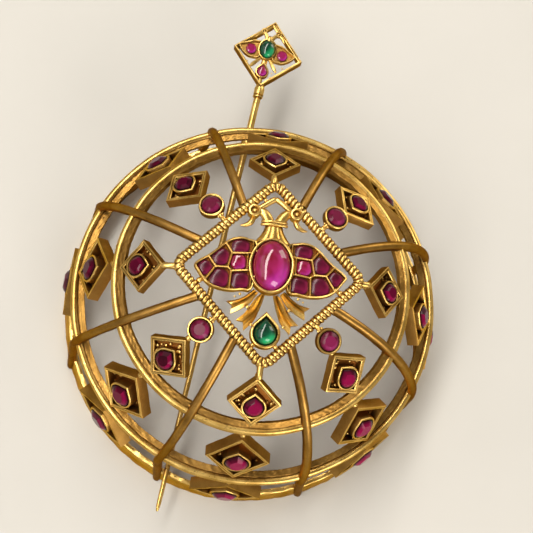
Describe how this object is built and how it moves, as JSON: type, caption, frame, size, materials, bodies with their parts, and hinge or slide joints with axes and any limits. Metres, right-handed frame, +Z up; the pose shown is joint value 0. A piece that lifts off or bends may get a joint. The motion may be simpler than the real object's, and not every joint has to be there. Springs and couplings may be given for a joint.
{
  "type": "hair bun cage with stick",
  "caption": "Domed openwork bun cover of rings and ribs set with red stones, a square crown with a two-headed bird, and a loose hair stick that slides through it.",
  "frame": {"origin": "centre of the base ring, in the plane it stands on", "axes": "+Z up through the crown, +Y towards the head of the stick and of the two-headed bird, +X to the right seen from above"},
  "size_m": [0.0752, 0.1009, 0.043],
  "materials": {
    "gold": "polished on the edges, old gold on the sides",
    "aged_gold": "darkened matt gold with bright rims",
    "red_stone": "cut and domed ruby-red glass",
    "green_stone": "domed emerald-green glass",
    "pink_stone": "cut purple-pink glass"
  },
  "bodies": {
    "cage": {"base_ring": "gold", "middle_ring": "gold", "upper_ring": "gold", "rib_1": "gold", "rib_2": "gold", "rib_3": "gold", "rib_4": "gold", "rib_5": "gold", "rib_6": "gold", "rib_7": "gold", "rib_8": "gold", "crown": "gold", "upper_settings": "aged_gold", "middle_settings": "aged_gold", "lower_settings": "aged_gold", "centre_stone": "red_stone", "pear_stone": "green_stone", "left_wing_stones": "red_stone", "right_wing_stones": "red_stone", "collet_stone_1": "red_stone", "collet_stone_2": "red_stone", "collet_stone_3": "red_stone", "collet_stone_4": "red_stone", "upper_stone_1": "red_stone", "upper_stone_2": "red_stone", "upper_stone_3": "red_stone", "upper_stone_4": "red_stone", "upper_stone_5": "red_stone", "upper_stone_6": "red_stone", "upper_stone_7": "red_stone", "upper_stone_8": "red_stone", "middle_stone_1": "red_stone", "middle_stone_2": "red_stone", "middle_stone_3": "red_stone", "middle_stone_4": "red_stone", "middle_stone_5": "red_stone", "middle_stone_6": "red_stone", "middle_stone_7": "red_stone", "middle_stone_8": "red_stone", "lower_stone_1": "red_stone", "lower_stone_2": "red_stone", "lower_stone_3": "red_stone", "lower_stone_4": "red_stone", "lower_stone_5": "red_stone", "lower_stone_6": "red_stone", "lower_stone_7": "red_stone", "lower_stone_8": "red_stone"},
    "hair_stick": {"stick": "gold", "stick_oval_stone": "green_stone", "stick_pear_stone": "pink_stone", "stick_left_stone": "pink_stone", "stick_right_stone": "pink_stone"}
  },
  "joints": [
    {"name": "stick_slide", "type": "slide", "parent": "cage", "child": "hair_stick", "axis": [0.1457, 0.9855, 0.0873], "range_m": [-0.004, 0.085]}
  ]
}
